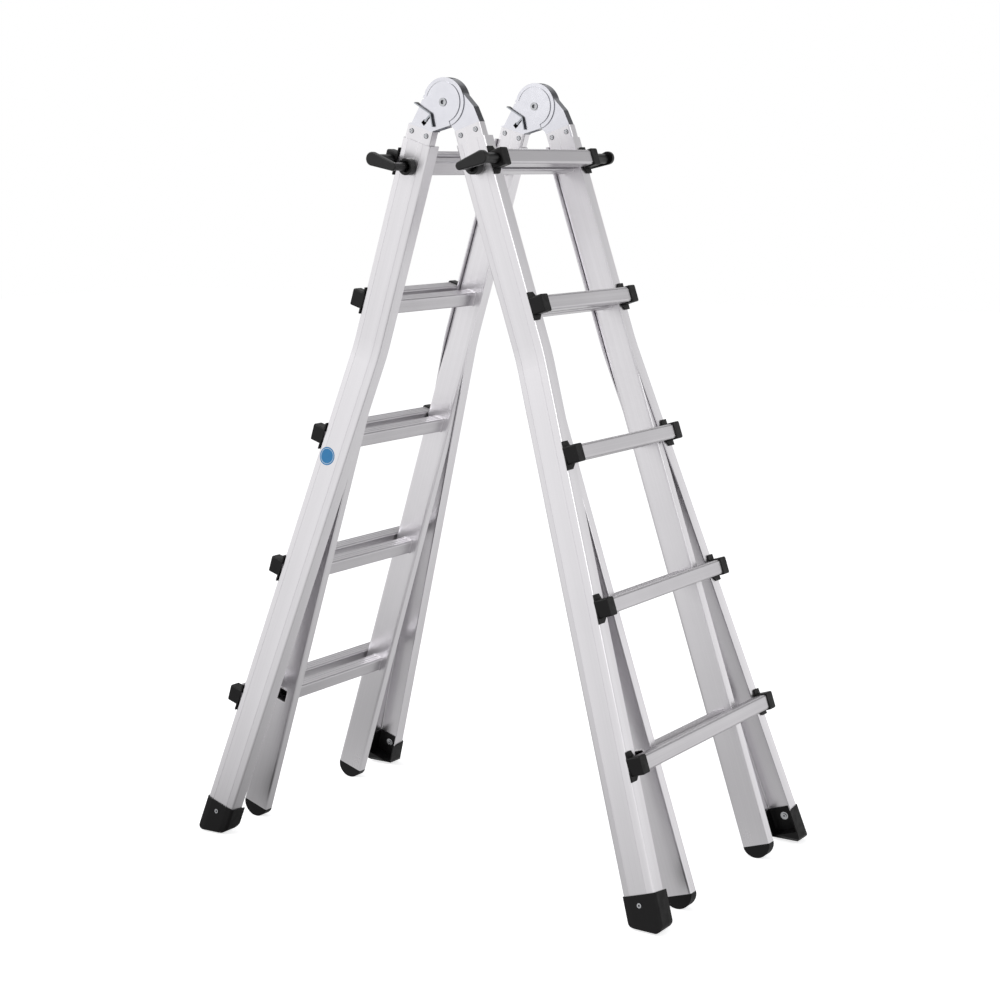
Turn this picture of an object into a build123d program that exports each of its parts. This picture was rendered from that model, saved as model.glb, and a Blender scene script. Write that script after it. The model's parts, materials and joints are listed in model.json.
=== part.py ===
# Multi position ladder: two telescopic halves joined by a pair of click hinges.
# Each half is an inner ladder of parallel box rails, nested in an outer ladder of flared channels.
# The origin lies on the floor midway between the four shoes, X runs along the spread of the
# halves, Y along the rungs and Z up. On a half, "down" runs from the hinge axis along the rail,
# "out" is square to the rungs and away from the other half, and "across" is Y.
import os
from math import cos, radians, sin, tan

from build123d import *

os.makedirs("parts", exist_ok=True)

# Stance
lean = 17.8
sole_down = 1534.0
rail_out = 36.0

# Rungs
rung_count = 5
rung_pitch = 280.0
first_rung_down = 136.0
rung_height = 28.0
rung_depth = 26.0
rung_wall = 1.6
rung_corner = 4.0
tread_rib_count = 4
tread_rib_width = 1.6
tread_rib_height = 0.6
rung_bead_height = 1.5
rung_bead_width = 2.5
rung_lip_height = 0.4
rung_lip_width = 1.5

# Inner ladder
inner_rail_width = 59.0
inner_rail_thickness = 21.0
inner_rail_wall = 2.0
inner_half_width = 169.5
inner_rail_top = 60.0
inner_rail_end = 1511.0
inner_shoulder_run = 5.0
inner_shoulder_drop = 0.8
inner_corner = 2.5
inner_cap_drop = 25.0
inner_cap_plug = 18.0
inner_cap_play = 0.1

# Outer ladder
rail_play = 0.75
outer_rail_wall = 2.5
outer_rail_depth = 32.0
outer_rail_top = 87.0
outer_shoulder_run = 15.0
outer_shoulder_drop = 2.2
outer_corner = 4.5
web_groove_width = 0.9
web_groove_depth = 0.5
flare_start = 504.0
flare_angle = 7.0
flare_bend_radius = 300.0

# Rung end clips
clip_wall = 2.2
clip_end_wall = 3.0
clip_length = 25.0
clip_tab_thickness = 3.0
clip_tab_above = 27.0
clip_tab_below = 26.0
clip_tab_width = 17.0
clip_edge_radius = 3.5
clip_play = 0.05

# Shoes
shoe_wall = 2.2
shoe_height = 62.0
shoe_depth = 42.0
shoe_floor = 18.0
rail_end_gap = 1.0
shoe_toe_radius = 16.0
shoe_heel_radius = 12.0
shoe_corner_cut = 8.0
shoe_corner_radius = 12.0
shoe_lining = 2.0
shoe_lining_play = 0.1
shoe_lining_corner = 0.5
shoe_tray_floor = 13.0
shoe_tray_lip = 3.0
shoe_rivet_up = 44.0
shoe_rivet_diameter = 6.0
shoe_rivet_head_diameter = 9.0
shoe_washer_diameter = 16.0
shoe_washer_thickness = 1.4
shoe_rivet_head_height = 1.4
shoe_rivet_bore = 3.6

# Lock handles
lock_travel = 15.0
pin_diameter = 10.0
pin_fit = 0.06
pin_chamfer = 1.0
hub_diameter = 32.0
hub_length = 16.0
hub_bore_diameter = 20.0
hub_lip = 3.0
hub_edge = 1.5
leg_diameter = 15.0
stub_diameter = 20.0
stub_seat = 2.0
stub_play = 0.5
leg_gap = 0.5
grip_standoff = 48.0
grip_thickness = 9.0
grip_narrow_radius = 8.0
grip_wide_radius = 13.0
grip_reach = 50.0
grip_edge = 2.5

# Click hinges
hinge_thickness = 24.0
cheek_thickness = 3.0
layer_gap = 0.3
head_radius = 46.0
head_gap = 1.0
boss_radius = 37.5
rim_step = 1.2
rim_groove_width = 1.8
rim_groove_depth = 0.8
tooth_width = 3.0
tooth_depth = 2.2
tooth_angles = (82.0, 93.0)
neck_heel_angle = 38.0
neck_heel_step = 2.0
neck_collar = 4.0
neck_collar_in = 8.0
neck_shoulder_down = 17.0
neck_shoulder_out = 47.8
core_inset = 1.0
core_shoulder_down = 29.0
core_shoulder_in = 5.0
core_crest = 3.0
tongue_end = 112.0
tongue_play = 0.1
tongue_lap = 2.0
hinge_pin_diameter = 14.0
hinge_pin_fit = 0.05
hinge_pin_head_diameter = 16.0
hinge_pin_head_height = 1.6
hinge_pin_bore = 8.0
hinge_pin_bore_depth = 4.0
hinge_rivet_down = 71.0
hinge_rivet_spacing = 35.0
hinge_rivet_diameter = 6.0
hinge_rivet_head_diameter = 10.5
hinge_rivet_head_height = 1.8
hinge_rivet_head_taper = 20.0
rivet_dimple_count = 3
rivet_dimple_radius = 2.6
rivet_dimple_diameter = 2.4
rivet_dimple_depth = 0.9

# Hinge lock
bolt_angle = 32.0
bolt_width = 12.0
bolt_thickness = 9.0
bolt_length = 18.0
bolt_travel = 6.0
bolt_play = 0.3
notch_depth = 7.0
link_diameter = 5.0
link_radius = 51.0
slot_play = 0.4
window_size = 9.0
window_radius = 57.0
lever_tip_down = 18.2
lever_tip_out = 59.3
lever_bend_down = 27.7
lever_bend_out = 18.3
lever_foot_down = 49.4
lever_foot_out = 6.2
lever_thickness = 2.4
lever_height = 5.0
lever_gap = 0.4
lever_arm_width = 3.4
lever_arm_thickness = 1.6
lever_eye_rim = 1.0
lever_tab_length = 8.0
lever_tab_depth = 13.0
lever_bend_radius = 5.0

# Derived sizes
outer_rail_width = inner_rail_width + 2 * (rail_play + outer_rail_wall)
web_face = inner_half_width + rail_play + outer_rail_wall
flange_out = rail_out + outer_rail_width / 2
outer_rung_out = flange_out + rung_depth / 2
pivot_height = sole_down * cos(radians(lean)) - rail_out * sin(radians(lean))
core_thickness = hinge_thickness - 2 * (cheek_thickness + layer_gap)
rail_inner_edge = rail_out - inner_rail_width / 2
rail_outer_edge = rail_out + inner_rail_width / 2
leg_start = hub_lip + lock_travel + leg_gap

SIDES = {"left": -1, "right": 1}
ROWS = {"near": -1, "far": 1}
reach = 2 * pivot_height


def down_vector(side):
    return Vector(SIDES[side] * sin(radians(lean)), 0, -cos(radians(lean)))


def out_vector(side):
    return Vector(SIDES[side] * cos(radians(lean)), 0, sin(radians(lean)))


def across_vector(row):
    return Vector(0, ROWS[row], 0)


def place(side, down, out, across=0.0):
    """World point from its place on a half."""
    hinge_axis = Vector(0, across, pivot_height)
    return hinge_axis + down_vector(side) * down + out_vector(side) * out


def plane_at(origin, x_dir, y_dir):
    return Plane(origin=origin, x_dir=x_dir, z_dir=x_dir.cross(y_dir))


def profile(side, *places):
    """Points on Plane.XZ for an outline seen along the rungs, from (down, out) pairs."""
    points = [place(side, down, out) for down, out in places]
    return [(point.X, point.Z) for point in points]


def layer_plane(across):
    """Plane parallel to XZ, at a distance across."""
    return Plane.XZ.offset(-across)


def section_plane(side, row, down):
    """Plane square to the rail: x is out from its centre line, y away from the ladder's middle."""
    return plane_at(place(side, down, rail_out), out_vector(side), across_vector(row))


def rung_plane(side, down, out):
    """Plane across a rung at the ladder's middle: x is out, y up the rail."""
    return plane_at(place(side, down, out), out_vector(side), -down_vector(side))


def rung_down(number):
    return first_rung_down + rung_pitch * (number - 1)


def web_half_width(down):
    """Distance from the ladder's middle to the outer face of the outer rail's web."""
    return web_face + max(0.0, down - flare_start) * tan(radians(flare_angle))


def floor_down(out):
    """Distance down a half to the floor, at a distance out."""
    return (pivot_height + out * sin(radians(lean))) / cos(radians(lean))


def flare_down(side, row):
    """Direction down the flared part of an outer rail."""
    flare = radians(flare_angle)
    return down_vector(side) * cos(flare) + across_vector(row) * sin(flare)


def flare_normal(side, row):
    """Direction square to the flared web, away from the ladder's middle."""
    flare = radians(flare_angle)
    return across_vector(row) * cos(flare) - down_vector(side) * sin(flare)


def save(builder, label):
    builder.part.label = label
    export_step(builder.part, f"parts/{label}.step")


def outline_face(points, radius=0.0):
    """Face inside a closed outline, its corners rounded by one radius or a list of them."""
    with BuildSketch() as sketch:
        with BuildLine():
            if radius:
                FilletPolyline(*points, radius=radius, close=True)
            else:
                Polyline(*points, close=True)
        make_face()
    return sketch.sketch


def broad_outline(width, face, back, run, drop, corner):
    """Open-backed rail outline, its broad face bevelled towards both corners."""
    half = width / 2
    flat = half - run
    points = [(-half, back), (-half, face - drop), (-flat, face)]
    points += [(flat, face), (half, face - drop), (half, back)]
    return outline_face(points, [0, corner, 0, 0, corner, 0])


def outer_skin(growth, face, back):
    """Outline of the outer rail's outside, grown all round for the shoe that wraps it."""
    return broad_outline(
        outer_rail_width + 2 * growth,
        face + growth,
        back,
        outer_shoulder_run + growth / 2,
        outer_shoulder_drop,
        outer_corner + growth,
    )


def channel_cavity(back):
    """Inside of the outer rail's channel: the inner rail's outline with room to slide."""
    return broad_outline(
        inner_rail_width + 2 * rail_play,
        inner_half_width + rail_play,
        back,
        inner_shoulder_run,
        inner_shoulder_drop,
        inner_corner,
    )


def inner_rail_outline(inset=0.0):
    """Closed outline of the inner rail, bevelled on both broad faces."""
    half = inner_rail_width / 2 - inset
    flat = inner_rail_width / 2 - inner_shoulder_run
    face = inner_half_width - inset
    back = inner_half_width - inner_rail_thickness + inset
    corner = inner_corner - min(inset, inner_corner - 0.5)
    points = [(-half, back + inner_shoulder_drop), (-half, face - inner_shoulder_drop)]
    points += [(-flat, face), (flat, face), (half, face - inner_shoulder_drop)]
    points += [(half, back + inner_shoulder_drop), (flat, back), (-flat, back)]
    return outline_face(points, [corner, corner, 0, 0, corner, corner, 0, 0])


def rung_outline(growth=0.0):
    """Outline of a rung with a ribbed tread, its tread towards +y."""
    rib_pitch = (rung_depth - 2 * rung_corner) / (tread_rib_count - 1)
    with BuildSketch() as outline:
        RectangleRounded(rung_depth + 2 * growth, rung_height + 2 * growth, rung_corner + growth)
        with Locations((0, rung_height / 2)):
            with GridLocations(rib_pitch, 0, tread_rib_count, 1):
                Rectangle(tread_rib_width + 2 * growth, 2 * (tread_rib_height + growth))
    return outline.sketch


def rung_rectangle(growth):
    with BuildSketch() as rectangle:
        RectangleRounded(rung_depth + 2 * growth, rung_height + 2 * growth, rung_corner + growth)
    return rectangle.sketch


# Rungs
def make_inner_rung(side, number):
    """Rung pressed through both inner rails, with a bead inside each rail and a flared lip outside."""
    face = inner_half_width - inner_rail_thickness
    with BuildPart() as rung:
        with BuildSketch(rung_plane(side, rung_down(number), rail_out)):
            add(rung_outline())
            add(rung_rectangle(-rung_wall), mode=Mode.SUBTRACT)
        extrude(amount=inner_half_width, both=True)
        bead = (face - rung_bead_width, rung_bead_height, rung_bead_width)
        lip = (inner_half_width, rung_lip_width, rung_lip_height)
        for row in ROWS:
            for start, growth, length in (bead, lip):
                band_plane = rung_plane(side, rung_down(number), rail_out)
                band_plane.origin += across_vector(row) * start
                with BuildSketch(band_plane):
                    add(rung_rectangle(growth))
                    add(rung_rectangle(-rung_wall), mode=Mode.SUBTRACT)
                extrude(amount=length, dir=across_vector(row))
    save(rung, f"{side}_inner_rung_{number}")


def make_outer_rung(side, number):
    down = rung_down(number)
    with BuildPart() as rung:
        with BuildSketch(rung_plane(side, down, outer_rung_out)):
            add(rung_outline())
            add(rung_rectangle(-rung_wall), mode=Mode.SUBTRACT)
        extrude(amount=web_half_width(down) - clip_end_wall, both=True)
    save(rung, f"{side}_outer_rung_{number}")


# Inner ladder
def hinge_rivet_spots(side):
    outs = [rail_out - hinge_rivet_spacing / 2, rail_out + hinge_rivet_spacing / 2]
    return profile(side, *[(hinge_rivet_down, out) for out in outs])


def make_inner_rail(side, row):
    with BuildPart() as rail:
        with BuildSketch(section_plane(side, row, inner_rail_top)):
            add(inner_rail_outline())
            offset(amount=-inner_rail_wall, mode=Mode.SUBTRACT)
        extrude(amount=inner_rail_end - inner_rail_top, dir=down_vector(side))
        for number in range(1, rung_count + 1):
            with BuildSketch(rung_plane(side, rung_down(number), rail_out)):
                add(rung_outline())
            extrude(amount=reach, dir=across_vector(row), mode=Mode.SUBTRACT)
        with BuildSketch(Plane.XZ):
            with Locations(*hinge_rivet_spots(side)):
                Circle(hinge_rivet_diameter / 2)
        extrude(amount=reach, both=True, mode=Mode.SUBTRACT)
    save(rail, f"{side}_inner_rail_{row}")


def make_inner_cap(side, row):
    plug_top = inner_rail_end - inner_cap_plug
    ends = profile(side, (inner_rail_end, rail_inner_edge), (inner_rail_end, rail_outer_edge))
    lowest = profile(side, (inner_rail_end + inner_cap_drop, rail_out))[0]
    with BuildPart() as cap:
        with BuildSketch(section_plane(side, row, inner_rail_end)):
            add(inner_rail_outline())
        extrude(amount=inner_cap_drop, dir=down_vector(side))
        with BuildSketch(Plane.XZ):
            with BuildLine():
                ThreePointArc(ends[0], lowest, ends[1])
                Line(ends[1], ends[0])
            make_face()
        extrude(amount=reach, both=True, mode=Mode.INTERSECT)
        with BuildSketch(section_plane(side, row, plug_top)):
            add(inner_rail_outline(inner_rail_wall + inner_cap_play))
        extrude(amount=inner_cap_plug, dir=down_vector(side))
    return cap.part


def make_inner_caps(side):
    with BuildPart() as caps:
        for row in ROWS:
            add(make_inner_cap(side, row))
    save(caps, f"{side}_inner_caps")


# Outer ladder
def make_outer_rail(side, row):
    rail_end = sole_down - shoe_floor - rail_end_gap
    stations = [outer_rail_top, flare_start, rail_end]
    route = [place(side, down, rail_out, ROWS[row] * web_half_width(down)) for down in stations]
    back = web_face - outer_rail_depth
    groove = outer_rail_width / 2 - outer_shoulder_run
    with BuildPart() as rail:
        with BuildLine():
            FilletPolyline(*route, radius=flare_bend_radius)
        with BuildSketch(section_plane(side, row, outer_rail_top)):
            add(outer_skin(0, web_face, back))
            add(channel_cavity(back), mode=Mode.SUBTRACT)
            with Locations((-groove, web_face), (groove, web_face)):
                Rectangle(web_groove_width, 2 * web_groove_depth, mode=Mode.SUBTRACT)
        sweep()
        with BuildSketch(layer_plane(0)):
            with Locations(*profile(side, (first_rung_down, rail_out))):
                Circle(pin_diameter / 2 + pin_fit)
        extrude(amount=reach, both=True, mode=Mode.SUBTRACT)
        with BuildSketch(shoe_rivet_plane(side, row)):
            Circle(shoe_rivet_diameter / 2)
        extrude(amount=outer_rail_depth, both=True, mode=Mode.SUBTRACT)
    save(rail, f"{side}_outer_rail_{row}")


# Rung end clips
def make_clip(side, row, number):
    """Moulded clip that ties a rung's end to the outward flange of its rail."""
    down = rung_down(number)
    edge = web_half_width(down)
    origin = place(side, down, flange_out, ROWS[row] * edge)
    top = clip_tab_above
    bottom = -clip_tab_below
    box_half = rung_height / 2 + tread_rib_height + clip_wall
    top_edge = web_half_width(down - top) - edge
    bottom_edge = web_half_width(down - bottom) - edge
    with BuildPart() as clip:
        with BuildSketch(plane_at(origin, across_vector(row), -down_vector(side))):
            with Locations((-clip_length / 2, 0)):
                RectangleRounded(clip_length, 2 * box_half, clip_edge_radius)
        extrude(amount=rung_depth + clip_wall, dir=out_vector(side))
        fillet(clip.edges().group_by(Axis(origin, out_vector(side)))[-1], clip_wall)
        with BuildSketch(plane_at(origin, across_vector(row), -down_vector(side))):
            with BuildLine():
                Polyline(
                    (top_edge, top),
                    (top_edge - clip_tab_width, top),
                    (-clip_length, box_half),
                    (-clip_length, -box_half),
                    (bottom_edge - clip_tab_width, bottom),
                    (bottom_edge, bottom),
                    close=True,
                )
            make_face()
        extrude(amount=clip_tab_thickness, dir=out_vector(side))
        with BuildSketch(rung_plane(side, down, outer_rung_out)):
            add(rung_outline(clip_play))
        extrude(amount=edge - clip_end_wall, both=True, mode=Mode.SUBTRACT)
        if number == 1:
            with BuildSketch(rung_plane(side, down, outer_rung_out)):
                Circle(stub_diameter / 2 + stub_play)
            extrude(amount=reach, both=True, mode=Mode.SUBTRACT)
    return clip.part


def make_clips(side):
    with BuildPart() as clips:
        for row in ROWS:
            for number in range(1, rung_count + 1):
                add(make_clip(side, row, number))
    save(clips, f"{side}_rung_clips")


# Shoes
def shoe_rivet_plane(side, row):
    """Plane on the flared web's outer face at the shoe's rivet, facing away from the ladder."""
    down = sole_down - shoe_rivet_up
    origin = place(side, down, rail_out, ROWS[row] * web_half_width(down))
    return Plane(origin=origin, x_dir=out_vector(side), z_dir=flare_normal(side, row))


def lining_outline(inset, corner, back):
    """Inside of the flared channel, drawn in by an inset, with y at the web's outer face."""
    return broad_outline(
        inner_rail_width + 2 * (rail_play - inset),
        -outer_rail_wall - inset,
        back,
        inner_shoulder_run,
        inner_shoulder_drop,
        corner,
    )


def make_shoe(side, row):
    top = sole_down - shoe_height
    origin = place(side, top, rail_out, ROWS[row] * web_half_width(top))
    section = plane_at(origin, out_vector(side), flare_normal(side, row))
    half = outer_rail_width / 2 + shoe_wall
    corners = [(top - shoe_height, rail_out - half), (top - shoe_height, rail_out + half)]
    corners += [(floor_down(out), out) for out in (rail_out + half, rail_out - half)]
    sole_edge = web_half_width(sole_down) + shoe_wall
    free_edge = sole_edge - shoe_depth
    foot = [(sole_edge + shoe_depth, 0), (free_edge + shoe_corner_cut, 0)]
    foot += [(free_edge - 2 * shoe_height, 2 * shoe_height + shoe_corner_cut)]
    foot += [(free_edge - 2 * shoe_height, reach), (sole_edge + shoe_depth, reach)]
    foot = [(ROWS[row] * across, up) for across, up in foot]
    pocket = shoe_height - shoe_floor
    lining_end = shoe_lining_play + shoe_lining
    with BuildPart() as shoe:
        with BuildSketch(section):
            add(outer_skin(shoe_wall, 0, shoe_wall - shoe_depth))
        extrude(amount=2 * shoe_height, dir=flare_down(side, row))
        with BuildSketch(Plane.XZ):
            add(outline_face(profile(side, *corners), [0, 0, shoe_heel_radius, shoe_toe_radius]))
        extrude(amount=reach, both=True, mode=Mode.INTERSECT)
        with BuildSketch(Plane.YZ):
            add(outline_face(foot, [0, shoe_corner_radius, 0, 0, 0]))
        extrude(amount=2 * reach, both=True, mode=Mode.INTERSECT)
        with BuildSketch(section):
            add(outer_skin(0, 0, -2 * shoe_depth))
        extrude(amount=pocket, dir=flare_down(side, row), mode=Mode.SUBTRACT)
        with BuildSketch(section):
            add(lining_outline(lining_end, shoe_lining_corner, shoe_tray_lip - shoe_depth))
        extrude(amount=shoe_height - shoe_tray_floor, dir=flare_down(side, row), mode=Mode.SUBTRACT)
        with BuildSketch(section):
            add(lining_outline(shoe_lining_play, inner_corner, -outer_rail_depth))
            add(lining_outline(lining_end, shoe_lining_corner, -shoe_depth), mode=Mode.SUBTRACT)
        extrude(amount=pocket + rail_end_gap, dir=flare_down(side, row))
        with BuildSketch(shoe_rivet_plane(side, row)):
            Circle(shoe_rivet_diameter / 2)
        extrude(amount=shoe_depth / 2, both=True, mode=Mode.SUBTRACT)
    save(shoe, f"{side}_shoe_{row}")


def make_shoe_rivets(side):
    """Blind rivets through shoe, web and lining, with a washer on the lining."""
    inside = outer_rail_wall + shoe_lining_play + shoe_lining
    tail = inside + shoe_washer_thickness + shoe_rivet_head_height
    with BuildPart() as rivets:
        for row in ROWS:
            face = shoe_rivet_plane(side, row)
            with BuildSketch(face.offset(-tail)):
                Circle(shoe_rivet_diameter / 2)
            extrude(amount=tail + shoe_wall)
            with BuildSketch(face.offset(shoe_wall)):
                Circle(shoe_rivet_head_diameter / 2)
            extrude(amount=shoe_rivet_head_height)
            with BuildSketch(face.offset(-inside)):
                Circle(shoe_washer_diameter / 2)
            extrude(amount=-shoe_washer_thickness)
            with BuildSketch(face.offset(-tail)):
                Circle(shoe_rivet_head_diameter / 2)
            extrude(amount=shoe_rivet_head_height)
            with BuildSketch(face.offset(-tail)):
                Circle(shoe_rivet_bore / 2)
            extrude(amount=tail + shoe_wall + shoe_rivet_head_height, mode=Mode.SUBTRACT)
    save(rivets, f"{side}_shoe_rivets")


# Lock handles
def handle_plane(side, row, out, above_web):
    """Plane over the web at the top rung, facing away from the ladder."""
    origin = place(side, first_rung_down, out, ROWS[row] * (web_face + above_web))
    return Plane(origin=origin, x_dir=out_vector(side), z_dir=across_vector(row))


def make_lock_hub(side, row):
    """Guide of a lock pin, with a recess that takes the handle's leg as the pin goes home."""
    with BuildPart() as hub:
        with BuildSketch(handle_plane(side, row, rail_out, 0)):
            Circle(hub_diameter / 2)
            Circle(pin_diameter / 2 + pin_fit, mode=Mode.SUBTRACT)
        extrude(amount=hub_length)
        with BuildSketch(handle_plane(side, row, rail_out, hub_lip)):
            Circle(hub_bore_diameter / 2)
        extrude(amount=hub_length, mode=Mode.SUBTRACT)
        rim = hub.faces().sort_by(Axis((0, 0, 0), across_vector(row)))[-1]
        chamfer(rim.edges(), hub_edge)
    return hub.part


def make_lock_hubs(side):
    with BuildPart() as hubs:
        for row in ROWS:
            add(make_lock_hub(side, row))
    save(hubs, f"{side}_lock_hubs")


def make_lock_handle(side, row):
    """U-shaped pull handle: a steel pin on one leg, a guide stub in the top rung's end on the other."""
    with BuildPart() as handle:
        with BuildSketch(handle_plane(side, row, rail_out, grip_standoff)):
            Circle(grip_narrow_radius)
            with Locations((grip_reach, 0)):
                Circle(grip_wide_radius)
            make_hull()
        extrude(amount=grip_thickness)
        outer_face = handle.faces().sort_by(Axis((0, 0, 0), across_vector(row)))[-1]
        fillet(outer_face.edges(), grip_edge)
        with BuildSketch(handle_plane(side, row, rail_out, leg_start)):
            Circle(leg_diameter / 2)
        extrude(amount=grip_standoff - leg_start)
        with BuildSketch(handle_plane(side, row, outer_rung_out, -stub_seat)):
            Circle(stub_diameter / 2)
        extrude(amount=grip_standoff + stub_seat)
    save(handle, f"lock_handle_{side}_{row}")


def make_lock_pin(side, row):
    with BuildPart() as pin:
        with BuildSketch(handle_plane(side, row, rail_out, -outer_rail_wall)):
            Circle(pin_diameter / 2)
        extrude(amount=leg_start + outer_rail_wall)
        chamfer(pin.edges().sort_by(Axis((0, 0, 0), across_vector(row)))[0], pin_chamfer)
    save(pin, f"lock_pin_{side}_{row}")


# Click hinges
def hinge_front(row):
    """Both hinges show their front to -Y; each lies flush with its rail's outer face."""
    return -inner_half_width if row == "near" else inner_half_width - hinge_thickness


def radial(radius, angle=bolt_angle, offset_out=0.0):
    """Place (down, out) at a radius from the hinge axis, angle measured from down towards out."""
    turn = radians(angle)
    down = radius * cos(turn) - offset_out * sin(turn)
    out = radius * sin(turn) + offset_out * cos(turn)
    return (down, out)


def radial_bar(side, start, end, width, angle=bolt_angle):
    """Rectangle that runs along a radius of the hinge, drawn on a layer plane."""
    corners = [radial(start, angle, -width / 2), radial(start, angle, width / 2)]
    corners += [radial(end, angle, width / 2), radial(end, angle, -width / 2)]
    return outline_face(profile(side, *corners))


def cheek_neck(side):
    """Neck of a left cheek, from the round head to the rail's end."""
    heel = (inner_rail_top - neck_heel_step, rail_inner_edge)
    collar = (inner_rail_top - neck_collar, rail_outer_edge - neck_collar_in)
    places = [(0, 0), radial(head_radius, -neck_heel_angle), heel]
    places += [(inner_rail_top, rail_inner_edge), (inner_rail_top, rail_outer_edge), collar]
    places += [(neck_shoulder_down, neck_shoulder_out), (0, head_radius)]
    return outline_face(profile(side, *places))


def core_neck_start():
    """Inner edge of a middle layer, kept to its own side of the hinge so that the halves fold flat."""
    corners = [(0, 0), (head_radius, core_inset), (inner_rail_top - neck_collar, rail_inner_edge)]
    corners += [(inner_rail_top, rail_inner_edge), (inner_rail_top, rail_outer_edge - core_inset)]
    return corners


def left_core_neck(side):
    places = core_neck_start()
    places += [(inner_rail_top - neck_collar, rail_outer_edge - neck_collar_in - core_inset)]
    places += [(neck_shoulder_down, neck_shoulder_out - core_inset)]
    return outline_face(profile(side, *places))


def right_core_neck(side):
    places = core_neck_start()
    places += [(core_shoulder_down, rail_outer_edge - core_shoulder_in)]
    places += [(-core_crest, head_radius - core_inset)]
    return outline_face(profile(side, *places))


def tongue(side, row):
    """Tongue that fills the rail's end, lapped into the neck above it."""
    length = tongue_end - inner_rail_top + tongue_lap
    with BuildSketch(section_plane(side, row, inner_rail_top - tongue_lap)) as section:
        add(inner_rail_outline(inner_rail_wall + tongue_play))
    return extrude(section.sketch, amount=length, dir=down_vector(side), mode=Mode.PRIVATE)


def make_left_leaf(row):
    side = "left"
    front = hinge_front(row)
    into = (0, 1, 0)
    axis = profile(side, (0, 0))
    middle = front + hinge_thickness / 2
    channel_end = head_radius + head_gap + bolt_length + 1
    slot_start = link_radius - bolt_travel - link_diameter / 2 - slot_play
    window_end = window_radius + window_size / 2
    tooth_end = head_radius + tooth_depth
    with BuildPart() as leaf:
        for layer in (front, front + hinge_thickness - cheek_thickness):
            with BuildSketch(layer_plane(layer)):
                with Locations(*axis):
                    Circle(head_radius)
                add(cheek_neck(side))
            extrude(amount=cheek_thickness, dir=into)
        with BuildSketch(layer_plane(front + cheek_thickness)):
            add(left_core_neck(side))
            with Locations(*axis):
                Circle(head_radius + head_gap, mode=Mode.SUBTRACT)
        extrude(amount=hinge_thickness - 2 * cheek_thickness, dir=into)
        add(tongue(side, row))
        with BuildSketch(layer_plane(front)):
            with Locations(*axis):
                Circle(head_radius + 1)
                Circle(boss_radius, mode=Mode.SUBTRACT)
            add(cheek_neck(side), mode=Mode.SUBTRACT)
        extrude(amount=rim_step, dir=into, mode=Mode.SUBTRACT)
        with BuildSketch(layer_plane(front)):
            with Locations(*axis):
                Circle(boss_radius + rim_groove_width)
                Circle(boss_radius, mode=Mode.SUBTRACT)
            add(cheek_neck(side), mode=Mode.SUBTRACT)
        extrude(amount=rim_step + rim_groove_depth, dir=into, mode=Mode.SUBTRACT)
        with BuildSketch(layer_plane(front)):
            for angle in tooth_angles:
                add(radial_bar(side, head_radius - tooth_depth, tooth_end, tooth_width, angle))
        extrude(amount=hinge_thickness, dir=into, mode=Mode.SUBTRACT)
        with BuildSketch(layer_plane(middle - bolt_thickness / 2 - bolt_play)):
            add(radial_bar(side, head_radius - 1, channel_end, bolt_width + 2 * bolt_play))
        extrude(amount=bolt_thickness + 2 * bolt_play, dir=into, mode=Mode.SUBTRACT)
        with BuildSketch(layer_plane(front)):
            add(radial_bar(side, slot_start, window_radius, link_diameter + 2 * slot_play))
            add(radial_bar(side, window_radius - window_size / 2, window_end, window_size))
        extrude(amount=middle - front, dir=into, mode=Mode.SUBTRACT)
        with BuildSketch(layer_plane(front)):
            with Locations(*axis):
                Circle(hinge_pin_diameter / 2)
        extrude(amount=hinge_thickness, dir=into, mode=Mode.SUBTRACT)
        with BuildSketch(Plane.XZ):
            with Locations(*hinge_rivet_spots(side)):
                Circle(hinge_rivet_diameter / 2)
        extrude(amount=reach, both=True, mode=Mode.SUBTRACT)
    save(leaf, f"hinge_{row}_left_leaf")


def make_right_leaf(row):
    side = "right"
    front = hinge_front(row)
    into = (0, 1, 0)
    axis = profile(side, (0, 0))
    notch_width = bolt_width + 2 * bolt_play
    lock_angles = [-(bolt_angle + turn) for turn in (0, 2 * lean, 180)]
    with BuildPart() as leaf:
        with BuildSketch(layer_plane(front + cheek_thickness + layer_gap)):
            with Locations(*axis):
                Circle(head_radius)
            add(right_core_neck(side))
            with Locations(*axis):
                Circle(hinge_pin_diameter / 2 + hinge_pin_fit, mode=Mode.SUBTRACT)
            for angle in lock_angles:
                notch = radial_bar(side, head_radius - notch_depth, head_radius + 1, notch_width, angle)
                add(notch, mode=Mode.SUBTRACT)
        extrude(amount=core_thickness, dir=into)
        add(tongue(side, row))
        with BuildSketch(Plane.XZ):
            with Locations(*hinge_rivet_spots(side)):
                Circle(hinge_rivet_diameter / 2)
        extrude(amount=reach, both=True, mode=Mode.SUBTRACT)
    save(leaf, f"hinge_{row}_right_leaf")


def make_hinge_pins():
    into = (0, 1, 0)
    axis = (0, pivot_height)
    with BuildPart() as pins:
        for row in ROWS:
            front = hinge_front(row)
            with BuildSketch(layer_plane(front)):
                with Locations(axis):
                    Circle(hinge_pin_diameter / 2)
            extrude(amount=hinge_thickness, dir=into)
            for layer, direction in ((front, (0, -1, 0)), (front + hinge_thickness, into)):
                with BuildSketch(layer_plane(layer)):
                    with Locations(axis):
                        Circle(hinge_pin_head_diameter / 2)
                extrude(amount=hinge_pin_head_height, dir=direction)
                with BuildSketch(layer_plane(layer + direction[1] * hinge_pin_head_height)):
                    with Locations(axis):
                        Circle(hinge_pin_bore / 2)
                extrude(amount=hinge_pin_bore_depth, dir=(0, -direction[1], 0), mode=Mode.SUBTRACT)
    save(pins, "hinge_pivot_pins")


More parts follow.
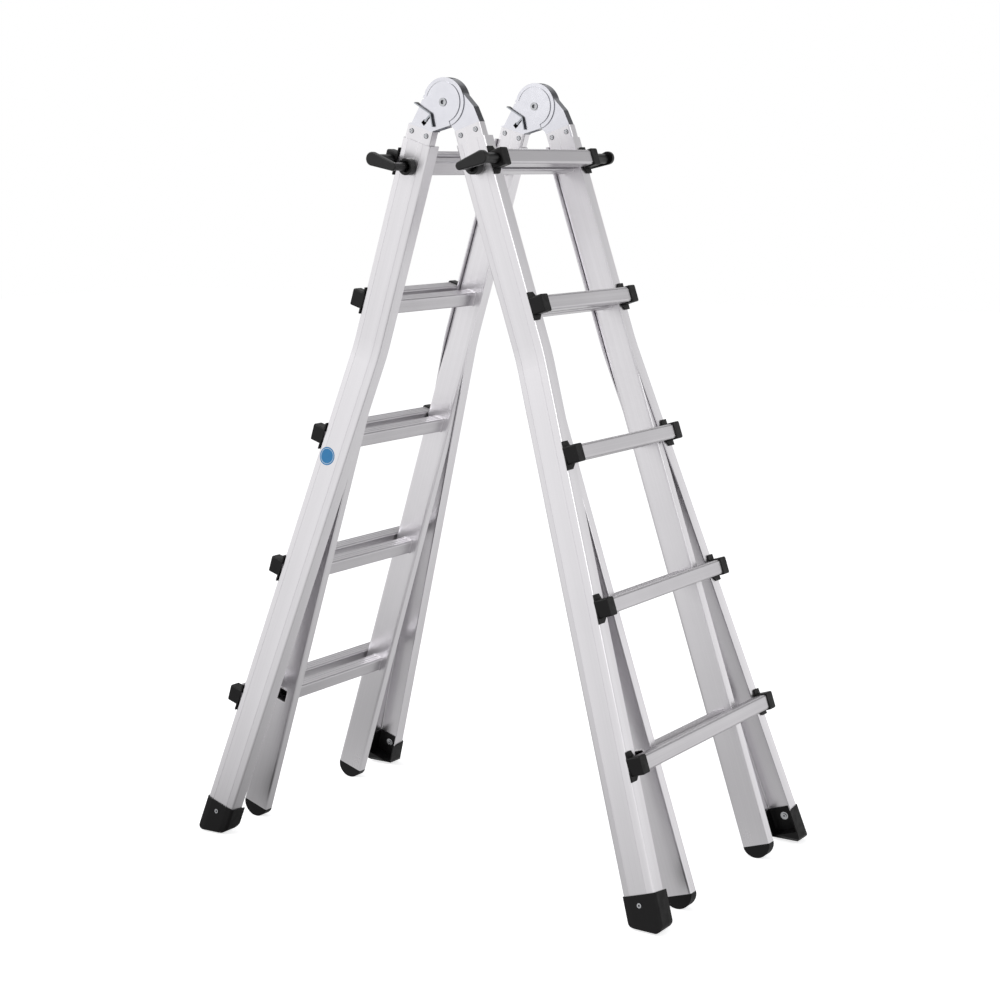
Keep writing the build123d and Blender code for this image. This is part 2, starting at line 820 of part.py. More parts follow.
def make_release_lever(row):
    """Bent steel strip on the front cheek, with its finger tab and the arm to the lock bolt."""
    side = "left"
    face = hinge_front(row) - lever_gap
    forward = (0, -1, 0)
    places = [(lever_tip_down, lever_tip_out), (lever_bend_down, lever_bend_out)]
    places += [(lever_foot_down, lever_foot_out)]
    tip, bend, foot = [Vector(*point) for point in profile(side, *places)]
    link = Vector(*profile(side, radial(link_radius))[0])
    tab_end = tip + (bend - tip).normalized() * lever_tab_length
    with BuildPart() as lever:
        with BuildSketch(layer_plane(face)):
            with BuildLine() as centre_line:
                FilletPolyline(tip, bend, foot, radius=lever_bend_radius)
            trace(centre_line.wire(), lever_thickness)
        extrude(amount=lever_height, dir=forward)
        with BuildSketch(layer_plane(face)):
            with BuildLine() as arm_line:
                Line(bend, link)
            trace(arm_line.wire(), lever_arm_width)
            with Locations(link):
                Circle(lever_arm_width / 2 + lever_eye_rim)
        extrude(amount=lever_arm_thickness, dir=forward)
        with BuildSketch(layer_plane(face - lever_height)):
            with BuildLine() as tab_line:
                Line(tip, tab_end)
            trace(tab_line.wire(), lever_thickness)
        extrude(amount=lever_tab_depth, dir=(0, 1, 0))
    save(lever, f"hinge_{row}_release_lever")


def make_lock_bolt(row):
    """Sliding bolt that drops into a notch of the right leaf, with the link to its lever."""
    side = "left"
    front = hinge_front(row)
    middle = front + hinge_thickness / 2
    tip = head_radius + head_gap
    with BuildPart() as bolt:
        with BuildSketch(layer_plane(middle - bolt_thickness / 2)):
            add(radial_bar(side, tip, tip + bolt_length - 1, bolt_width))
        extrude(amount=bolt_thickness, dir=(0, 1, 0))
        with BuildSketch(layer_plane(middle)):
            with Locations(*profile(side, radial(link_radius))):
                Circle(link_diameter / 2)
        extrude(amount=middle - front + lever_gap, dir=(0, -1, 0))
    save(bolt, f"hinge_{row}_lock_bolt")


def make_hinge_rivets(side):
    back = inner_half_width - inner_rail_thickness
    spots = hinge_rivet_spots(side)
    with BuildPart() as rivets:
        for row in ROWS:
            outward = across_vector(row)
            with BuildSketch(layer_plane(ROWS[row] * back)):
                with Locations(*spots):
                    Circle(hinge_rivet_diameter / 2)
            extrude(amount=inner_rail_thickness, dir=outward)
            for layer, direction in ((back, -outward), (inner_half_width, outward)):
                with BuildSketch(layer_plane(ROWS[row] * layer)):
                    with Locations(*spots):
                        Circle(hinge_rivet_head_diameter / 2)
                extrude(amount=hinge_rivet_head_height, dir=direction, taper=hinge_rivet_head_taper)
                top = layer_plane(ROWS[row] * layer)
                top.origin += direction * hinge_rivet_head_height
                with BuildSketch(top):
                    with Locations(*spots):
                        with PolarLocations(rivet_dimple_radius, rivet_dimple_count):
                            Circle(rivet_dimple_diameter / 2)
                extrude(amount=rivet_dimple_depth, dir=-direction, mode=Mode.SUBTRACT)
    save(rivets, f"{side}_hinge_rivets")


for side in SIDES:
    for number in range(1, rung_count + 1):
        make_inner_rung(side, number)
        make_outer_rung(side, number)
    for row in ROWS:
        make_inner_rail(side, row)
        make_outer_rail(side, row)
        make_shoe(side, row)
        make_lock_handle(side, row)
        make_lock_pin(side, row)
    make_inner_caps(side)
    make_clips(side)
    make_shoe_rivets(side)
    make_lock_hubs(side)
    make_hinge_rivets(side)

for row in ROWS:
    make_left_leaf(row)
    make_right_leaf(row)
    make_release_lever(row)
    make_lock_bolt(row)
make_hinge_pins()
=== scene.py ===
import json
import math

import bmesh
import bpy
from mathutils import Matrix, Vector


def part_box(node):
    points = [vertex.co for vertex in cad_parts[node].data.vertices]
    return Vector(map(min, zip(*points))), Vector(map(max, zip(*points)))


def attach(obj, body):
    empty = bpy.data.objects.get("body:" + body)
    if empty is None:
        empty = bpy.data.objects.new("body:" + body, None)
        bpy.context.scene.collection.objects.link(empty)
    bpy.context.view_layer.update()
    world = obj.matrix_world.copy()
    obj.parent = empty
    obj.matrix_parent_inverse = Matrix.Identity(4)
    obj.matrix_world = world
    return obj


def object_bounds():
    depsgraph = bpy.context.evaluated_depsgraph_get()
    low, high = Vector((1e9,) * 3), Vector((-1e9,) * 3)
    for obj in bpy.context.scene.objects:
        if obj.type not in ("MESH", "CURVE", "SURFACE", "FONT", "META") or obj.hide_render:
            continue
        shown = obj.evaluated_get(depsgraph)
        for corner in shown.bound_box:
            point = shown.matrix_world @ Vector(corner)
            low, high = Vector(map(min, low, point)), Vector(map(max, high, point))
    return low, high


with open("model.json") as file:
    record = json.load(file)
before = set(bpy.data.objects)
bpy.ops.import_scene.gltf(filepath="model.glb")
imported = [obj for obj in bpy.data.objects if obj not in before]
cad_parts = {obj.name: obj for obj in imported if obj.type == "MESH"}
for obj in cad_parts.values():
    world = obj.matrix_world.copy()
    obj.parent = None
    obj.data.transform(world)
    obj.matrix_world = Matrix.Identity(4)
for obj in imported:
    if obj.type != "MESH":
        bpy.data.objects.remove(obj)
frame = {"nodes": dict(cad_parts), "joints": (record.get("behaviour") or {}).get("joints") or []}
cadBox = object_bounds()
nodes = frame["nodes"]
print("frame loaded,", len(nodes), "nodes")

# a half's own directions: down its rails from the hinge, and out, square to its rungs
sideSign = {"left": -1, "right": 1}
axisOf = {joint["name"]: Vector(joint["axis"]) for joint in frame["joints"]}
downOf = {side: axisOf[side + "_telescope"].normalized() for side in sideSign}
outOf = {side: Vector((-downOf[side].z, 0, downOf[side].x)) * sign for side, sign in sideSign.items()}
pinLow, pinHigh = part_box("hinge_pivot_pins")
hingeAxis = Vector((0, 0, (pinLow.z + pinHigh.z) / 2))
flareStart = 0.504  # how far down a rail its flare starts
flareAngle = math.radians(7.0)


def place(side, down, out, across):
    return hingeAxis + downOf[side] * down + outOf[side] * out + Vector((0, across, 0))


# camera and light

cameraSettings = {
    "location": (2.1399, -3.2061, 1.3074),
    "yaw": 0.5865,
    "pitch": 0.1115,
    "roll": -0.0084,
    "lens": 71.19,
    "fall": -0.1,  # the lens stands a little high of the frame's middle
    "reach": 60,
}


def placeCamera(c):
    camera = bpy.data.objects.new("camera", bpy.data.cameras.new("camera"))
    bpy.context.scene.collection.objects.link(camera)
    camera.data.lens = c["lens"]
    camera.data.sensor_width = 36
    camera.data.shift_y = c["fall"]
    turn = Matrix.Rotation(c["yaw"], 4, "Z") @ Matrix.Rotation(math.pi / 2 - c["pitch"], 4, "X")
    camera.matrix_world = Matrix.Translation(c["location"]) @ turn @ Matrix.Rotation(c["roll"], 4, "Z")
    camera.data.clip_end = c["reach"]
    bpy.context.scene.camera = camera


placeCamera(cameraSettings)

lamps = {
    "keySoftbox": {"at": (-3.4, -3.4, 4.2), "to": (0, 0, 0.7), "size": 2.6, "power": 110},
    "fillSoftbox": {"at": (4.2, -2.2, 3.2), "to": (0.2, 0, 0.5), "size": 2.0, "power": 30},
    "topSoftbox": {"at": (-0.8, -0.6, 4.4), "to": (0, 0, 0.6), "size": 2.0, "power": 30},
}


def addSoftbox(name, s):
    light = bpy.data.lights.new(name, "AREA")
    light.energy = s["power"]
    light.shape = "SQUARE"
    light.size = s["size"]
    lamp = bpy.data.objects.new(name, light)
    lamp.location = s["at"]
    lamp.rotation_euler = (Vector(s["to"]) - Vector(s["at"])).to_track_quat("-Z", "Y").to_euler()
    bpy.context.scene.collection.objects.link(lamp)


for name, settings in lamps.items():
    addSoftbox(name, settings)

bpy.context.scene.view_settings.view_transform = "Standard"
print("camera and softboxes placed")

# node helpers


# an sRGB hex colour as linear light
def linear(code):
    parts = [int(code[i : i + 2], 16) / 255 for i in (1, 3, 5)]
    return tuple(p / 12.92 if p <= 0.04045 else ((p + 0.055) / 1.055) ** 2.4 for p in parts) + (1.0,)


# adds one node, with its settings, and its sockets set or linked
def addNode(tree, kind, settings=None, sockets=None):
    node = tree.nodes.new(kind)
    for key, value in (settings or {}).items():
        setattr(node, key, value)
    for key, value in (sockets or {}).items():
        if isinstance(value, bpy.types.NodeSocket):
            tree.links.new(value, node.inputs[key])
        else:
            node.inputs[key].default_value = value
    return node


# how far a position or a normal lies along a direction
def dotWith(tree, position, direction, offset=0.0):
    dot = addNode(tree, "ShaderNodeVectorMath", {"operation": "DOT_PRODUCT"}, {0: position, 1: tuple(direction)})
    return addNode(tree, "ShaderNodeMath", {"operation": "ADD"}, {0: dot.outputs["Value"], 1: -offset}).outputs[0]


def newMaterial(name):
    material = bpy.data.materials.new(name)
    material.use_nodes = True
    material.node_tree.nodes.clear()
    return material, material.node_tree


# studio floor and surround

studio = {
    "floor": "#E4E4E6",
    "surround": "#FFFFFF",
    "ambient": 0.42,
    "floorToLens": 0.74,
    "frontLevel": (1.0, 0.6),  # what bare metal sees: a white front wall that dulls overhead,
    "frontHeight": (0.3, 0.9),
    "backLevel": (1.1, 0.76),  # a back wall that is white at the foot,
    "backHeight": (0.0, 0.35),
    "backToward": (0.5, 0.866, 0),
    "backBlend": (-0.3, 0.5),
    "flagToward": (0.329, 0.739, 0.588),  # and a dark flag above it, which draws the metal's edges
    "flagSpread": (0.93, 1.0),
    "flagLevel": 0.12,
    "shadeAt": (-0.464, -0.342, 0),  # painted shade: the floor's glow as bare metal sees it is darker under the ladder, and white further off,
    "shadeAlong": (0.923, 0.385, 0),  # in an oval that lies along this line
    "shadeStretch": 2.39,
    "shade": (
        (0.0, 0.19),
        (0.01, 0.265),
        (0.03, 0.38),
        (0.07, 0.52),
        (0.15, 0.67),
        (0.3, 0.795),
        (0.6, 0.91),
        (1.0, 1.0),
    ),
    "shadeReach": 10,
    "size": 30,
    "drop": 0.0005,
}


# a soft step from one level to another
def fadeOver(tree, value, low, high, atLow, atHigh):
    limits = {"Value": value, "From Min": low, "From Max": high, "To Min": atLow, "To Max": atHigh}
    return addNode(tree, "ShaderNodeMapRange", {"interpolation_type": "SMOOTHSTEP"}, limits).outputs[0]


# whether the lens or glass looks, and whether gloss does
def seenClear(tree):
    path = addNode(tree, "ShaderNodeLightPath")
    looks = {0: path.outputs["Is Camera Ray"], 1: path.outputs["Is Transmission Ray"]}
    clear = addNode(tree, "ShaderNodeMath", {"operation": "MAXIMUM"}, looks)
    return clear.outputs[0], path.outputs["Is Glossy Ray"]


# the lens and glass see a plain white surround, gloss sees the walls and the flag, and the
# room is lit by a dimmer white
def buildWorld(s):
    world = bpy.data.worlds.new("studio")
    world.use_nodes = True
    tree = world.node_tree
    tree.nodes.clear()
    clear, glossy = seenClear(tree)
    toward = addNode(tree, "ShaderNodeTexCoord").outputs["Generated"]
    back = dotWith(tree, toward, s["backToward"])
    flag = dotWith(tree, toward, s["flagToward"])
    height = addNode(tree, "ShaderNodeSeparateXYZ", None, {"Vector": toward}).outputs["Z"]
    frontWall = fadeOver(tree, height, *s["frontHeight"], *s["frontLevel"])
    backWall = fadeOver(tree, height, *s["backHeight"], *s["backLevel"])
    behind = fadeOver(tree, back, *s["backBlend"], 0.0, 1.0)
    wall = addNode(tree, "ShaderNodeMix", {"data_type": "FLOAT"}, {0: behind, 2: frontWall, 3: backWall}).outputs[0]
    dark = fadeOver(tree, flag, *s["flagSpread"], 1.0, s["flagLevel"])
    gloss = addNode(tree, "ShaderNodeMath", {"operation": "MULTIPLY"}, {0: wall, 1: dark}).outputs[0]
    room = addNode(tree, "ShaderNodeMix", {"data_type": "FLOAT"}, {0: glossy, 2: s["ambient"], 3: gloss})
    amount = addNode(tree, "ShaderNodeMix", {"data_type": "FLOAT"}, {0: clear, 2: room.outputs[0], 3: 1.0})
    white = {"Color": linear(s["surround"]), "Strength": amount.outputs[0]}
    glow = addNode(tree, "ShaderNodeBackground", None, white)
    addNode(tree, "ShaderNodeOutputWorld", None, {"Surface": glow.outputs[0]})
    bpy.context.scene.world = world


# pale paper that keeps the ladder's shadow, and that bare metal sees as a soft oval of painted shade
def buildFloor(s):
    material, tree = newMaterial("paperFloor")
    clear, glossy = seenClear(tree)
    lift = addNode(tree, "ShaderNodeMath", {"operation": "MULTIPLY"}, {0: clear, 1: s["floorToLens"]}).outputs[0]
    paper = addNode(tree, "ShaderNodeBsdfDiffuse", None, {"Color": linear(s["floor"])})
    glow = addNode(tree, "ShaderNodeEmission", None, {"Color": linear(s["surround"]), "Strength": lift})
    both = addNode(tree, "ShaderNodeAddShader", None, {0: paper.outputs[0], 1: glow.outputs[0]})
    spot = addNode(tree, "ShaderNodeTexCoord").outputs["Object"]
    spot = addNode(tree, "ShaderNodeVectorMath", {"operation": "SUBTRACT"}, {0: spot, 1: s["shadeAt"]}).outputs[0]
    sideways = Vector(s["shadeAlong"]).cross(Vector((0, 0, 1))) * s["shadeStretch"]
    ovalPlace = {"X": dotWith(tree, spot, s["shadeAlong"]), "Y": dotWith(tree, spot, sideways)}
    oval = addNode(tree, "ShaderNodeCombineXYZ", None, ovalPlace)
    away = addNode(tree, "ShaderNodeVectorMath", {"operation": "LENGTH"}, {0: oval.outputs[0]}).outputs["Value"]
    part = addNode(tree, "ShaderNodeMath", {"operation": "DIVIDE"}, {0: away, 1: s["shadeReach"]}).outputs[0]
    shade = addNode(tree, "ShaderNodeValToRGB", None, {0: part})
    while len(shade.color_ramp.elements) < len(s["shade"]):
        shade.color_ramp.elements.new(0.5)
    for stop, (share, level) in zip(shade.color_ramp.elements, s["shade"]):
        stop.position = share
        stop.color = (level, level, level, 1)
    # painted shade: in gloss the floor glows with the oval's tones, darker under the ladder
    inMetal = addNode(tree, "ShaderNodeEmission", None, {"Color": shade.outputs[0], "Strength": 1.0})
    seen = addNode(tree, "ShaderNodeMixShader", None, {0: glossy, 1: both.outputs[0], 2: inMetal.outputs[0]})
    addNode(tree, "ShaderNodeOutputMaterial", None, {"Surface": seen.outputs[0]})
    half = s["size"] / 2
    mesh = bpy.data.meshes.new("floor")
    corners = [(-half, -half, 0), (half, -half, 0), (half, half, 0), (-half, half, 0)]
    mesh.from_pydata(corners, [], [(0, 1, 2, 3)])
    floor = bpy.data.objects.new("floor", mesh)
    bpy.context.scene.collection.objects.link(floor)
    floor.data.materials.append(material)
    floor.location.z = cadBox[0][2] - s["drop"]


buildWorld(studio)
buildFloor(studio)
print("studio built")

# extruded aluminium, mill finish: the die leaves fine lines along the length and soft bands
# of brighter and duller metal, which the eye sees as a brushed satin grey

railAluminium = {
    "pale": "#E4E2E5",
    "dull": "#DAD8DB",
    "cut": "#8E8D90",  # sawn ends are rougher than the drawn faces
    "cutFrom": (0.7, 0.9),
    "roughness": (0.26, 0.36),
    "lineSpacing": 0.0016,  # die lines lie 0.3 mm apart, drawn coarser so that they show
    "lineLength": 0.9,
    "bandWidth": 0.012,  # soft bands 12 mm wide
    "cloudSize": 0.16,  # handling haze, a hand's width across
    "bump": 0.00001,
}
# the rungs are handled duller than the rails, with bright ends where they are flared
rungAluminium = dict(railAluminium, pale="#D2D0D3", dull="#C3C1C4", cut="#F0EEF0", roughness=(0.3, 0.42))


# position in metres, first across the die, then along the extrusion
def alongRail(tree, side, flared):
    position = addNode(tree, "ShaderNodeTexCoord").outputs["Object"]
    down = dotWith(tree, position, downOf[side], hingeAxis.dot(downOf[side]))
    out = dotWith(tree, position, outOf[side], hingeAxis.dot(outOf[side]))
    away = addNode(tree, "ShaderNodeMath", {"operation": "ABSOLUTE"}, {0: dotWith(tree, position, (0, 1, 0))}).outputs[0]
    if flared:
        past = addNode(tree, "ShaderNodeMath", {"operation": "SUBTRACT"}, {0: down, 1: flareStart})
        past = addNode(tree, "ShaderNodeMath", {"operation": "MAXIMUM"}, {0: past.outputs[0], 1: 0.0})
        spread = addNode(tree, "ShaderNodeMath", {"operation": "MULTIPLY"}, {0: past.outputs[0], 1: math.tan(flareAngle)})
        away = addNode(tree, "ShaderNodeMath", {"operation": "SUBTRACT"}, {0: away, 1: spread.outputs[0]}).outputs[0]
    return addNode(tree, "ShaderNodeCombineXYZ", None, {"X": out, "Y": away, "Z": down}).outputs[0]


# the same for a rung, which runs across the ladder
def alongRung(tree, side):
    position = addNode(tree, "ShaderNodeTexCoord").outputs["Object"]
    out = dotWith(tree, position, outOf[side])
    down = dotWith(tree, position, downOf[side])
    across = dotWith(tree, position, (0, 1, 0))
    return addNode(tree, "ShaderNodeCombineXYZ", None, {"X": out, "Y": down, "Z": across}).outputs[0]


def extrudedAluminium(name, s, lengthwise, along):
    material, tree = newMaterial(name)
    position = along(tree)
    fine = (1 / s["lineSpacing"], 1 / s["lineSpacing"], 1 / s["lineLength"])
    band = (1 / s["bandWidth"], 1 / s["bandWidth"], 1 / (2 * s["lineLength"]))
    linePlace = addNode(tree, "ShaderNodeVectorMath", {"operation": "MULTIPLY"}, {0: position, 1: fine})
    bandPlace = addNode(tree, "ShaderNodeVectorMath", {"operation": "MULTIPLY"}, {0: position, 1: band})
    lineLook = {"Vector": linePlace.outputs[0], "Scale": 1.0, "Detail": 2.0, "Roughness": 0.6}
    bandLook = {"Vector": bandPlace.outputs[0], "Scale": 1.0, "Detail": 1.0}
    cloudLook = {"Vector": position, "Scale": 1 / s["cloudSize"], "Detail": 3.0}
    lines = addNode(tree, "ShaderNodeTexNoise", None, lineLook)
    bands = addNode(tree, "ShaderNodeTexNoise", None, bandLook)
    clouds = addNode(tree, "ShaderNodeTexNoise", None, cloudLook)
    mixed = addNode(tree, "ShaderNodeMix", {"data_type": "FLOAT"}, {0: 0.5, 2: lines.outputs[0], 3: bands.outputs[0]})
    shade = addNode(tree, "ShaderNodeMix", {"data_type": "FLOAT"}, {0: 0.3, 2: mixed.outputs[0], 3: clouds.outputs[0]})
    ramp = addNode(tree, "ShaderNodeMapRange", None, {"Value": shade.outputs[0], "From Min": 0.3, "From Max": 0.7})
    tones = {0: ramp.outputs[0], 6: linear(s["dull"]), 7: linear(s["pale"])}
    tint = addNode(tree, "ShaderNodeMix", {"data_type": "RGBA"}, tones)
    endOn = dotWith(tree, addNode(tree, "ShaderNodeTexCoord").outputs["Normal"], lengthwise)
    endOn = addNode(tree, "ShaderNodeMath", {"operation": "ABSOLUTE"}, {0: endOn}).outputs[0]
    sawn = fadeOver(tree, endOn, *s["cutFrom"], 0.0, 1.0)
    tint = addNode(tree, "ShaderNodeMix", {"data_type": "RGBA"}, {0: sawn, 6: tint.outputs[2], 7: linear(s["cut"])})
    smooth, rough = s["roughness"]
    glossRange = {"Value": shade.outputs[0], "From Min": 0.3, "From Max": 0.7, "To Min": rough, "To Max": smooth}
    gloss = addNode(tree, "ShaderNodeMapRange", None, glossRange)
    relief = addNode(tree, "ShaderNodeBump", None, {"Height": mixed.outputs[0], "Distance": s["bump"], "Strength": 0.6})
    metal = addNode(
        tree,
        "ShaderNodeBsdfPrincipled",
        None,
        {"Base Color": tint.outputs[2], "Metallic": 1.0, "Roughness": gloss.outputs[0], "Normal": relief.outputs[0]},
    )
    addNode(tree, "ShaderNodeOutputMaterial", None, {"Surface": metal.outputs[0]})
    return material


# zinc-plated pressed steel: a cool, nearly white metal with a faint mottle from the bath, and
# sheared edges, square to the hinge's faces, which are painted dark as shade

zincSteel = {
    "pale": "#E6E6EC",
    "dull": "#D9D9E0",
    "edge": "#85868B",
    "roughness": (0.2, 0.3),
    "mottle": 0.009,  # the bath's mottle is 9 mm across
    "bump": 0.00002,
}
# rivet and pin heads, turned: bright tops, with painted shade darkening their flanks
headSteel = {
    "pale": "#D2D3D6",
    "dull": "#A9AAAE",
    "edge": "#4C4D51",
    "roughness": (0.18, 0.3),
    "mottle": 0.004,
    "bump": 0.00002,
}
# the release levers, bent strip left grey from hardening, with painted shade darkening their side faces
leverSteel = {
    "pale": "#B4B7BC",
    "dull": "#8C8F95",
    "edge": "#2E2F33",
    "roughness": (0.3, 0.45),
    "mottle": 0.005,
    "bump": 0.00003,
}
# the lock pins, turned bright all over
pinSteel = {
    "pale": "#D2D3D6",
    "dull": "#A9AAAE",
    "edge": "#C4C5C8",
    "roughness": (0.18, 0.3),
    "mottle": 0.004,
    "bump": 0.00002,
}
# the hinge bolts, blackened and oiled
boltSteel = {
    "pale": "#2B2C30",
    "dull": "#1B1C1F",
    "edge": "#232427",
    "roughness": (0.4, 0.55),
    "mottle": 0.004,
    "bump": 0.00003,
}
edgeFrom = (0.35, 0.8)  # how squarely a face must look along the hinge's pin to escape the painted shade of side faces


def platedSteel(name, s):
    material, tree = newMaterial(name)
    position = addNode(tree, "ShaderNodeTexCoord").outputs["Object"]
    mottleLook = {"Vector": position, "Scale": 1 / s["mottle"], "Detail": 3.0, "Roughness": 0.55}
    mottle = addNode(tree, "ShaderNodeTexNoise", None, mottleLook)
    haze = addNode(tree, "ShaderNodeTexNoise", None, {"Vector": position, "Scale": 0.2 / s["mottle"], "Detail": 2.0})
    mixed = addNode(tree, "ShaderNodeMix", {"data_type": "FLOAT"}, {0: 0.5, 2: mottle.outputs[0], 3: haze.outputs[0]})
    tones = {0: mixed.outputs[0], 6: linear(s["dull"]), 7: linear(s["pale"])}
    tint = addNode(tree, "ShaderNodeMix", {"data_type": "RGBA"}, tones)
    normal = addNode(tree, "ShaderNodeTexCoord").outputs["Normal"]
    facing = addNode(tree, "ShaderNodeSeparateXYZ", None, {"Vector": normal}).outputs["Y"]
    flat = addNode(tree, "ShaderNodeMath", {"operation": "ABSOLUTE"}, {0: facing}).outputs[0]
    # painted shade: faces turned away from the hinge pin's line take the darker side tone
    sideShaded = fadeOver(tree, flat, *edgeFrom, 1.0, 0.0)
    tint = addNode(tree, "ShaderNodeMix", {"data_type": "RGBA"}, {0: sideShaded, 6: tint.outputs[2], 7: linear(s["edge"])})
    smooth, rough = s["roughness"]
    glossRange = {"Value": mixed.outputs[0], "From Min": 0.3, "From Max": 0.7, "To Min": smooth, "To Max": rough}
    gloss = addNode(tree, "ShaderNodeMapRange", None, glossRange)
    relief = addNode(tree, "ShaderNodeBump", None, {"Height": mottle.outputs[0], "Distance": s["bump"], "Strength": 0.5})
    metal = addNode(
        tree,
        "ShaderNodeBsdfPrincipled",
        None,
        {"Base Color": tint.outputs[2], "Metallic": 1.0, "Roughness": gloss.outputs[0], "Normal": relief.outputs[0]},
    )
    addNode(tree, "ShaderNodeOutputMaterial", None, {"Surface": metal.outputs[0]})
    return material


# glass-filled nylon, moulded black: a matt skin with a fine spark-eroded grain

blackNylon = {
    "pale": "#0E0D0E",
    "dull": "#070607",
    "roughness": (0.42, 0.6),
    "shine": 0.24,
    "grain": 0.0009,  # spark grain is 0.1 mm, drawn coarser so that it shows
    "flow": 0.012,  # faint flow clouds 12 mm across
    "bump": 0.00008,
}
# the same nylon on the handles, worn a little smoother by hands
gripNylon = {
    "pale": "#0D0C0D",
    "dull": "#060606",
    "roughness": (0.3, 0.45),
    "shine": 0.36,
    "grain": 0.0009,
    "flow": 0.012,
    "bump": 0.00004,
}


def mouldedNylon(name, s):
    material, tree = newMaterial(name)
    position = addNode(tree, "ShaderNodeTexCoord").outputs["Object"]
    grain = addNode(tree, "ShaderNodeTexNoise", None, {"Vector": position, "Scale": 1 / s["grain"], "Detail": 2.0})
    flow = addNode(tree, "ShaderNodeTexNoise", None, {"Vector": position, "Scale": 1 / s["flow"], "Detail": 3.0})
    tones = {0: flow.outputs[0], 6: linear(s["dull"]), 7: linear(s["pale"])}
    tint = addNode(tree, "ShaderNodeMix", {"data_type": "RGBA"}, tones)
    smooth, rough = s["roughness"]
    glossRange = {"Value": flow.outputs[0], "From Min": 0.3, "From Max": 0.7, "To Min": smooth, "To Max": rough}
    gloss = addNode(tree, "ShaderNodeMapRange", None, glossRange)
    relief = addNode(tree, "ShaderNodeBump", None, {"Height": grain.outputs[0], "Distance": s["bump"], "Strength": 0.8})
    plastic = addNode(
        tree,
        "ShaderNodeBsdfPrincipled",
        None,
        {
            "Base Color": tint.outputs[2],
            "Roughness": gloss.outputs[0],
            "Specular IOR Level": s["shine"],
            "Normal": relief.outputs[0],
        },
    )
    addNode(tree, "ShaderNodeOutputMaterial", None, {"Surface": plastic.outputs[0]})
    return material


# gives a node its finish on every slot
def dress(nodeName, material):
    thing = nodes[nodeName]
    if not thing.material_slots:
        thing.data.materials.append(material)
    for holder in thing.material_slots:
        holder.material = material


black = mouldedNylon("blackMouldedNylon", blackNylon)
grip = mouldedNylon("gripMouldedNylon", gripNylon)
zinc = platedSteel("zincPlatedSteel", zincSteel)
heads = platedSteel("rivetHeadSteel", headSteel)
pins = platedSteel("turnedPinSteel", pinSteel)
lever = platedSteel("hardenedLeverSteel", leverSteel)
bolt = platedSteel("oiledBoltSteel", boltSteel)
for side in sideSign:
    down = downOf[side]
    innerMetal = extrudedAluminium(
        side + "InnerRailAluminium", railAluminium, down, lambda tree: alongRail(tree, side, False)
    )
    outerMetal = extrudedAluminium(
        side + "OuterRailAluminium", railAluminium, down, lambda tree: alongRail(tree, side, True)
    )
    rungMetal = extrudedAluminium(
        side + "RungAluminium", rungAluminium, (0, 1, 0), lambda tree: alongRung(tree, side)
    )
    for nodeName in nodes:
        if nodeName.startswith(side + "_inner_rail"):
            dress(nodeName, innerMetal)
        elif nodeName.startswith(side + "_outer_rail"):
            dress(nodeName, outerMetal)
        elif nodeName.startswith(side) and "_rung_" in nodeName and "clips" not in nodeName:
            dress(nodeName, rungMetal)
for nodeName in nodes:
    if "clips" in nodeName or "shoe_near" in nodeName or "shoe_far" in nodeName or "caps" in nodeName:
        dress(nodeName, black)
    elif "lock_handle" in nodeName or "hubs" in nodeName:
        dress(nodeName, grip)
    elif "rivets" in nodeName or "pivot" in nodeName:
        dress(nodeName, heads)
    elif "lock_pin" in nodeName:
        dress(nodeName, pins)
    elif "lock_bolt" in nodeName:
        dress(nodeName, bolt)
    elif "lever" in nodeName:
        dress(nodeName, lever)
    elif nodeName.startswith("hinge_"):
        dress(nodeName, zinc)
print("materials on every node")

# a round blue vinyl sticker on the near left web, bare but for a pale ring, which drapes
# over the web's edge where the metal falls away

stickerSettings = {
    "side": "left",
    "down": 0.7275,
    "out": 0.0449,
    "radius": 0.018,
    "ring": (0.0145, 0.0155),
    "lift": 0.00012,
    "webFlat": 0.01825,  # half the flat of the web, about the rail's centre line at 36 mm out
    "railOut": 0.036,
    "webDrop": 2.2 / 15,
    "webFace": 0.17275,
    "blue": "#2B7FB8",
    "pale": "#D7E8F2",
    "roughness": 0.35,
    "rings": 12,
    "spokes": 64,
}


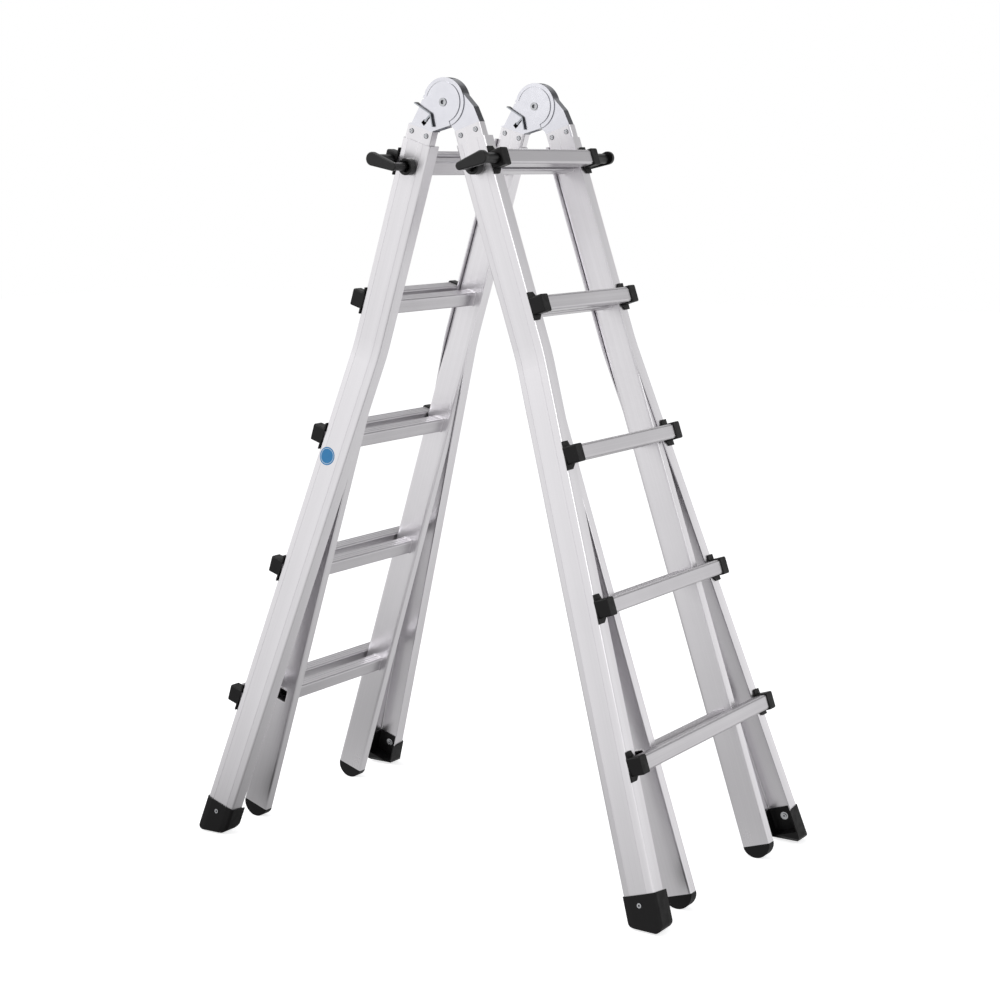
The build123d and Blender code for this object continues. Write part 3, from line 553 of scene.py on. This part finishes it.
def stickerVinyl(s):
    material, tree = newMaterial("blueStickerVinyl")
    position = addNode(tree, "ShaderNodeTexCoord").outputs["Object"]
    radius = addNode(tree, "ShaderNodeVectorMath", {"operation": "LENGTH"}, {0: position}).outputs["Value"]
    past = addNode(tree, "ShaderNodeMath", {"operation": "GREATER_THAN"}, {0: radius, 1: s["ring"][0]}).outputs[0]
    short = addNode(tree, "ShaderNodeMath", {"operation": "LESS_THAN"}, {0: radius, 1: s["ring"][1]}).outputs[0]
    onRing = addNode(tree, "ShaderNodeMath", {"operation": "MULTIPLY"}, {0: past, 1: short}).outputs[0]
    tone = addNode(tree, "ShaderNodeMix", {"data_type": "RGBA"}, {0: onRing, 6: linear(s["blue"]), 7: linear(s["pale"])})
    skin = {"Base Color": tone.outputs[2], "Roughness": s["roughness"], "IOR": 1.5}
    vinyl = addNode(tree, "ShaderNodeBsdfPrincipled", None, skin)
    addNode(tree, "ShaderNodeOutputMaterial", None, {"Surface": vinyl.outputs[0]})
    return material


def addSticker(s):
    spread = (s["down"] - flareStart) * math.tan(flareAngle)
    centre = place(s["side"], s["down"], s["out"], -(s["webFace"] + spread))
    along = downOf[s["side"]] * math.cos(flareAngle) - Vector((0, math.sin(flareAngle), 0))
    out = outOf[s["side"]]
    face = Vector((0, -math.cos(flareAngle), 0)) - downOf[s["side"]] * math.sin(flareAngle)
    mesh = bpy.data.meshes.new("sticker")
    build = bmesh.new()
    rings = [[build.verts.new((0, 0, 0))]]
    spokes = s["spokes"]
    turns = [math.tau * step / spokes for step in range(spokes)]
    for number in range(1, s["rings"] + 1):
        radius = s["radius"] * number / s["rings"]
        rings.append([build.verts.new((radius * math.cos(turn), radius * math.sin(turn), 0)) for turn in turns])
    for step in range(spokes):
        after = (step + 1) % spokes
        build.faces.new((rings[0][0], rings[1][step], rings[1][after]))
        for inner, outer in zip(rings[1:], rings[2:]):
            build.faces.new((inner[step], outer[step], outer[after], inner[after]))
    for vertex in build.verts:
        beyond = abs(s["out"] + vertex.co.x - s["railOut"]) - s["webFlat"]
        vertex.co.z = s["lift"] - max(0.0, beyond) * s["webDrop"]
        vertex.co = out * vertex.co.x + along * vertex.co.y + face * vertex.co.z
    build.normal_update()
    build.to_mesh(mesh)
    build.free()
    sticker = bpy.data.objects.new("sticker", mesh)
    sticker.location = centre
    bpy.context.scene.collection.objects.link(sticker)
    mesh.materials.append(stickerVinyl(s))
    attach(sticker, "left_outer")


addSticker(stickerSettings)
print("sticker on")
